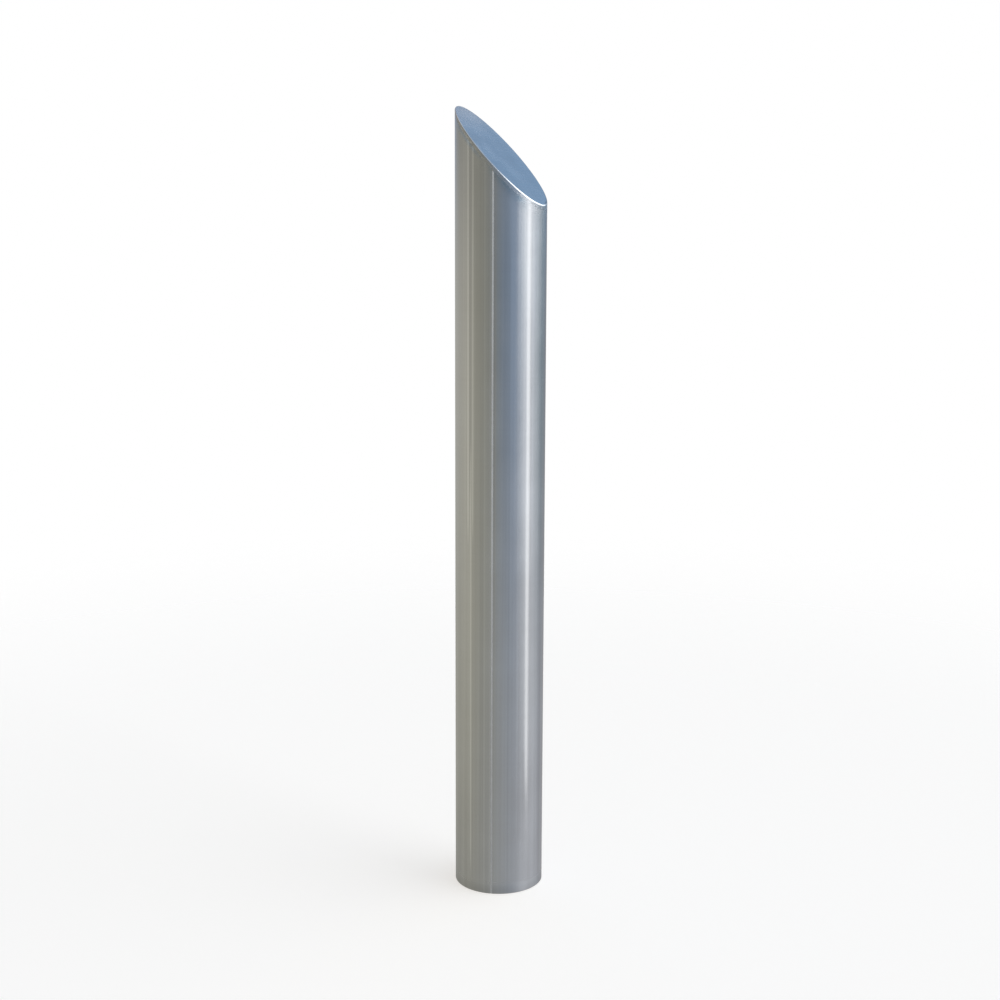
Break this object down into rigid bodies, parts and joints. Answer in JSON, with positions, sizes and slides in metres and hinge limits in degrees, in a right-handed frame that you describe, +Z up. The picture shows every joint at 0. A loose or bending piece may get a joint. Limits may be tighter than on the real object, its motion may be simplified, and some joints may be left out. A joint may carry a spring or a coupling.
{
  "type": "steel safety bollard",
  "caption": "Round stainless post with a flat slanted top. It slips over a bolted-down core and is clamped by grub screws at the back of its foot.",
  "frame": {"origin": "on the post's axis, in the ground plane that the post and the base plate stand on", "axes": "+Z up along the post; the high side of the slanted top faces -X and the low side +X"},
  "size_m": [0.1142, 0.1142, 1],
  "materials": {
    "post_steel": "satin stainless steel, ground round the tube and across the plate",
    "ground_weld": "stainless weld ground flush",
    "lock_ring_steel": "turned stainless steel",
    "raw_weld": "rippled weld bead as laid",
    "nylon": "natural nylon",
    "screw_steel": "black oxide alloy steel",
    "galvanised_steel": "hot-dip galvanised, mottled grey",
    "galvanised_weld": "galvanised weld bead",
    "zinc_plate": "bright zinc plating"
  },
  "bodies": {
    "core": {"base_plate": "galvanised_steel", "spigot_tube": "galvanised_steel", "spigot_weld": "galvanised_weld", "anchor_stud_1": "zinc_plate", "anchor_stud_2": "zinc_plate", "anchor_stud_3": "zinc_plate", "anchor_stud_4": "zinc_plate", "anchor_nut_1": "zinc_plate", "anchor_nut_2": "zinc_plate", "anchor_nut_3": "zinc_plate", "anchor_nut_4": "zinc_plate", "anchor_washer_1": "zinc_plate", "anchor_washer_2": "zinc_plate", "anchor_washer_3": "zinc_plate", "anchor_washer_4": "zinc_plate"},
    "post": {"post_tube": "post_steel", "post_seam_weld": "ground_weld", "top_plate": "post_steel", "top_plate_weld": "ground_weld", "lock_ring": "lock_ring_steel", "lock_ring_weld": "raw_weld", "guide_ring": "nylon"},
    "first_lock_screw": {"lock_screw_1": "screw_steel"},
    "second_lock_screw": {"lock_screw_2": "screw_steel"}
  },
  "joints": [
    {"name": "post_lift", "type": "slide", "parent": "core", "child": "post", "axis": [0, 0, 1], "range_m": [0, 0.31]},
    {"name": "lock_screw_1_release", "type": "slide", "parent": "post", "child": "first_lock_screw", "axis": [0.5, 0.866, 0], "range_m": [0, 0.0025]},
    {"name": "lock_screw_2_release", "type": "slide", "parent": "post", "child": "second_lock_screw", "axis": [-0.866, 0.5, 0], "range_m": [0, 0.0025]}
  ]
}
